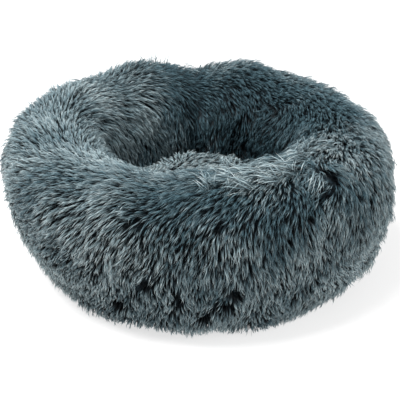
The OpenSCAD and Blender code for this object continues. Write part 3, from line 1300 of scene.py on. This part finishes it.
def floor_stitch_rows(pitch):
    """The doubled thread that sews the floor in: two rows side by side of bowed stitches, each 1.15
    of the pitch long, so that it overlaps the next."""
    turns = int(TAU * FLOOR_SEAM_R / pitch)
    at = np.arange(turns) / turns * TAU
    sag = np.tile(np.array([0, 0, 0.35 * MM]), (turns, 1))
    rows = []
    for side in (-1, 1):
        begin = on_circle(at, FLOOR_SEAM_R + side * 0.4 * MM, FLOOR_SEAM_Z)
        end = on_circle(at + 1.15 * TAU / turns, FLOOR_SEAM_R + side * 0.2 * MM, FLOOR_SEAM_Z)
        rows.append(stitches(begin, end, sag, 0.4 * MM))
    return rows


seam_piece("floor_stitches", floor_stitch_rows(5 * MM), THREAD, "floor_seam")


def seam_allowance():
    """The strip's two raw edges, folded together inside the tube: a flat band that follows the
    backing at the seam's azimuth, 6 mm wide and 1 mm thick, its edge waved by 0.5 mm."""
    column = int(round(STRIP_SEAM_AT / 360 * RING_COLUMNS))
    layers = []
    for depth, over_base in ((1.3 * MM, 0.7 * MM), (2.1 * MM, 1.1 * MM)):
        layer = tube[:, column] - tube_normals[:, column] * depth
        layer[RING_ROWS - 1 :, 2] = BASE_TOP + over_base
        layer[0, 2] = BASE_TOP + over_base
        layers.append(layer)
    line, inner = layers
    across = unit(np.roll(tube, -1, 1)[:, column] - np.roll(tube, 1, 1)[:, column])
    wave = 0.5 * MM * np.sin(np.arange(len(tube)) * 0.9)[:, None]
    edges = [line - across * (3 * MM + wave), line + across * (3 * MM - wave)]
    edges += [inner + across * (3 * MM - wave), inner - across * (3 * MM + wave)]
    points = np.stack(edges, 1)
    return points.reshape(-1, 3), [grid_faces(len(tube), 4, wrap_rows=True)]


seam_piece("strip_seam_allowance", [seam_allowance()], THREAD, "strip_seam")


# The floor cushion ---------------------------------------------------------------------------
FLOOR_ROWS = 44
FLOOR_COLUMNS = 96
FLOOR_FACE_STEPS = 24


def floor_surface(inset):
    """The floor cushion's backing as a grid, rows from its foot up the side and over the crown to
    close by the centre: an upright side, a round shoulder and a crown that levels off, with the
    crown pressed down a little off its middle."""
    phi = np.arange(FLOOR_COLUMNS) / FLOOR_COLUMNS * TAU
    edge_r, top = WELL_R - inset * 0.55, FLOOR_H - inset
    foot_r = INNER_FOOT_R - 4 * MM
    edge_h = top - FLOOR_EDGE_DROP
    t = np.linspace(0, 1, FLOOR_FACE_STEPS)[:, None]
    side = cubic(
        np.array([foot_r, BASE_TOP + FLOAT]),
        np.array([foot_r, edge_h * 0.3]),
        np.array([edge_r, edge_h * 0.5]),
        np.array([edge_r, edge_h]),
        t,
    )
    crown = cubic(
        np.array([edge_r, edge_h]),
        np.array([edge_r, top]),
        np.array([edge_r * 0.5, top]),
        np.array([1.5 * MM, top]),
        t,
    )
    profile = np.concatenate([side, crown[1:]])
    points = on_circle(phi[None], profile[:, :1], profile[:, 1:])
    points = even_rows(points, FLOOR_ROWS)
    lump, _ = waves(41, 70 * MM)(points.reshape(-1, 3))
    share = np.linspace(0, 1, FLOOR_ROWS)[:, None]
    points[..., 2] += lump.reshape(points.shape[:2]) * 2.5 * MM * smooth((share - 0.3) / 0.3)
    return points


floor_start = floor_surface(FLOOR_SET_IN)
floor_share = np.linspace(0, 1, FLOOR_ROWS)[:, None]
underside = np.array([[0, 0, BASE_TOP + FLOAT]])
FLOOR_POINTS = FLOOR_ROWS * FLOOR_COLUMNS
fan = np.arange(FLOOR_COLUMNS)
after = (fan + 1) % FLOOR_COLUMNS
top_row = FLOOR_POINTS - FLOOR_COLUMNS
top_fan = np.stack([top_row + after, 0 * fan + FLOOR_POINTS, top_row + fan], -1)
bottom_fan = np.stack([after, fan, 0 * fan + FLOOR_POINTS + 1], -1)
FLOOR_FACES = [grid_faces(FLOOR_ROWS, FLOOR_COLUMNS), top_fan, bottom_fan]


def capped(grid):
    """The cushion's grid with its crown's pole and its underside's centre."""
    crown = grid[-1].mean(0) + np.array([0, 0, 0.02 * MM])
    return np.concatenate([grid.reshape(-1, 3), crown[None], underside])


floor_held = np.broadcast_to(1 - smooth(floor_share / 0.12), (FLOOR_ROWS, FLOOR_COLUMNS))
floor_held = np.concatenate([floor_held.ravel(), [0, 1]])
floor_puffed = puffed(capped(floor_start), FLOOR_FACES, floor_held, FLOOR_LET_OUT, PUFF)
floor_points = floor_puffed[:FLOOR_POINTS].reshape(FLOOR_ROWS, FLOOR_COLUMNS, 3)
floor_normals = grid_normals(floor_points)
floor_backing = mesh_piece("floor_backing", floor_puffed, FLOOR_FACES, BACKING)
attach(floor_backing, "root")
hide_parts("floor_cover")

# The floor's pile: its tufts' spacing and length, and the share of the cushion's rows left bare
FLOOR_TUFT_EVERY, FLOOR_TUFT_LONG, FLOOR_THICK = 3.5 * MM, 24 * MM, (0.65, 1.1)
FLOOR_BARE = 0.36

floor_pile = Pile()
first_row = int(FLOOR_ROWS * FLOOR_BARE)
place, normal, *_ = tuft_places(floor_points, floor_normals, rng, FLOOR_TUFT_EVERY, first_row)
value, _ = LIE_NOISE(place)
sway, _ = SWAY_NOISE(place)
# Brushed across the well, at an angle that wanders
swept = 1.2 + 0.9 * value
streak = unit(np.stack([np.cos(swept), 0.5 * np.sin(swept), 0 * value], -1))
lie = streak + 0.5 * sway[:, None] * np.cross(normal, streak)
lie = unit(lie - normal * dot(lie, normal))
count = len(place)
lift = np.clip(0.5 + rng.normal(0, 0.1, count), 0.2, 1)
long = FLOOR_TUFT_LONG * rng.uniform(0.84, 1.14, count)
tone = 0.7 + 0.1 * value + rng.uniform(-0.24, 0.24, count)
grow_tufts(
    floor_pile,
    rng,
    place,
    normal,
    lie,
    lift,
    long,
    TUFT_SPREAD,
    LOCKS_PER_TUFT,
    FLOOR_THICK,
    tone,
    gather=0.06,
    start=0.2,
)
roll = rng.uniform(0, TAU, len(floor_pile.all("tone")))
points, triangles, uv = lock_mesh(*(floor_pile.all(k) for k in LOCK_KEYS), roll)
piece = mesh_piece("floor_pile", points, triangles, FUR, uv)
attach(piece, "root")


def wadding_disc():
    """Lumpy fibre filling: the backing's own grid drawn in by 3.2 mm, and by up to 2.8 mm more in
    soft hollows between the clumps."""
    points = capped(floor_points)
    clump, _ = waves(37, 24 * MM, 14)(points)
    inset = (3.2 + 1.4 * (1 + np.clip(clump, -1, 1))) * MM
    normals = np.concatenate([floor_normals.reshape(-1, 3), [[0, 0, 1], [0, 0, -1]]])
    points = points - normals * inset[:, None]
    points[:, 2] = np.maximum(points[:, 2], WADDING_FOOT)
    points[-1, 2] = WADDING_FOOT
    return points


floor_wadding = mesh_piece("floor_wadding", wadding_disc(), FLOOR_FACES, WADDING)
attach(floor_wadding, "root")
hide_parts("floor_fill")

# The base and the label ----------------------------------------------------------------------
for node, material in (("base_panel", base_cloth_material()), ("grip_dots", grip_material())):
    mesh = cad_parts[node].data
    mesh.materials.clear()
    mesh.materials.append(material)


# The label's ribbon: its width, its length when folded, how much of that is sewn under the base,
# and its thickness
LABEL_WIDE, LABEL_LONG, LABEL_SEWN, RIBBON_THICK = 24 * MM, 44 * MM, 9 * MM, 0.2 * MM


def label_sheet():
    """The label's ribbon, folded in half over a round fold. Its path runs out along the lower
    layer, round the fold and back along the upper one, and carries a thin rectangle."""
    azimuth = math.atan2((LABEL_LO[1] + LABEL_HI[1]) / 2, (LABEL_LO[0] + LABEL_HI[0]) / 2)
    low, high = LABEL_LO[2] + RIBBON_THICK / 2, LABEL_HI[2] - 0.12 * MM
    bend = (high - low) / 2
    run = np.linspace(0, LABEL_LONG - bend - RIBBON_THICK / 2, 14)
    turn = np.linspace(-math.pi / 2, math.pi / 2, 7)[1:-1]
    out = np.concatenate([run, run[-1] + bend * np.cos(turn), run[::-1]])
    up = np.concatenate([0 * run + low, (low + high) / 2 + bend * np.sin(turn), 0 * run + high])
    path = np.stack([out, up], -1)
    heading = unit(np.gradient(path, axis=0))
    side = np.stack([heading[:, 1], -heading[:, 0]], -1)
    outer, inner = path + side * RIBBON_THICK / 2, path - side * RIBBON_THICK / 2
    across = np.linspace(-LABEL_WIDE / 2, LABEL_WIDE / 2, 9)
    e_out = np.array([math.cos(azimuth), math.sin(azimuth), 0])
    e_side = np.array([-math.sin(azimuth), math.cos(azimuth), 0])

    def laid(line):
        """A line of the path, drawn out across the ribbon's width and put in its place."""
        out = BASE_R - LABEL_SEWN + line[:, :1]
        grid = out[..., None] * e_out + across[None, :, None] * e_side
        return grid + line[:, 1:, None] * np.array([0, 0, 1.0])

    ring = np.concatenate([laid(outer), laid(inner)[:, ::-1]], 1)
    n, m = ring.shape[:2]
    faces = grid_faces(n, m)
    half = m // 2
    k = np.arange(half - 1)
    cap = np.stack([k, k + 1, m - 2 - k, m - 1 - k], -1)
    return ring.reshape(-1, 3), [faces, cap[:, ::-1], cap + (n - 1) * m]


points, faces = label_sheet()
label = mesh_piece("care_label_ribbon", points, faces, label_material())
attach(label, "root")
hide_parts("care_label")

# Camera and light ----------------------------------------------------------------------------
# The view stands ELEVATION over the floor, DISTANCE from AIM, the point it looks at
ELEVATION = math.radians(27.1)
DISTANCE = 1.334
AIM = np.array([0.0, 0.0, 0.0735])
camera_data = bpy.data.cameras.new("camera")
camera_data.lens = 92.4
camera_data.sensor_width = 36
camera = bpy.data.objects.new("camera", camera_data)
bpy.context.scene.collection.objects.link(camera)
camera.location = AIM + DISTANCE * np.array([0, -math.cos(ELEVATION), math.sin(ELEVATION)])
camera.rotation_euler = (math.pi / 2 - ELEVATION, 0, 0)
bpy.context.scene.camera = camera


# The studio: half the floor's width, and the backdrop's radius, height and sides
FLOOR_HALF = 6.0
BACKDROP_R, BACKDROP_H, BACKDROP_SIDES = 5.9, 2.4, 64
SKY_LIGHT = 0.58


def stage_piece(name, points, faces, grey, glow):
    """A matt piece of the studio, of that grey, that glows white a little by itself so that it
    comes out pale all over."""
    material, _, surface = new_material(name)
    wire(
        surface,
        {
            "Base Color": (grey, grey, grey, 1),
            "Roughness": 1.0,
            "Specular IOR Level": 0.0,
            "Emission Color": (1, 1, 1, 1),
            "Emission Strength": glow,
        },
    )
    mesh_piece(name, points, faces, material)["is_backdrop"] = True


square = np.array([[-1, -1, 0], [1, -1, 0], [1, 1, 0], [-1, 1, 0]], float)
stage_piece("studio_floor", square * FLOOR_HALF, np.array([[0, 1, 2, 3]]), grey=0.35, glow=0.66)
# An upright white band round the floor's far edge
round_about = np.arange(BACKDROP_SIDES) / BACKDROP_SIDES * TAU
band = on_circle(round_about[None], BACKDROP_R, np.array([[0.0], [BACKDROP_H]])).reshape(-1, 3)
stage_piece("white_backdrop", band, grid_faces(2, BACKDROP_SIDES), grey=0.0, glow=1.0)


def soft_light(name, place, size, power, aim=(0, 0, 0.1)):
    """A square area light at a place, turned towards the bed."""
    data = bpy.data.lights.new(name, "AREA")
    data.size = size
    data.energy = power
    light = bpy.data.objects.new(name, data)
    bpy.context.scene.collection.objects.link(light)
    light.location = place
    light.rotation_mode = "QUATERNION"
    light.rotation_quaternion = Vector(np.array(place) - np.array(aim)).to_track_quat("Z", "Y")


soft_light("key_light", (-0.8, -0.3, 2.1), 1.2, 106)
soft_light("fill_light", (1.8, -1.0, 1.1), 1.2, 26)
world = bpy.data.worlds.new("studio")
bpy.context.scene.world = world
world.use_nodes = True
world.node_tree.nodes["Background"].inputs[0].default_value = (1, 1, 1, 1)
world.node_tree.nodes["Background"].inputs[1].default_value = SKY_LIGHT
bpy.context.scene.view_settings.view_transform = "Standard"

low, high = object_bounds()
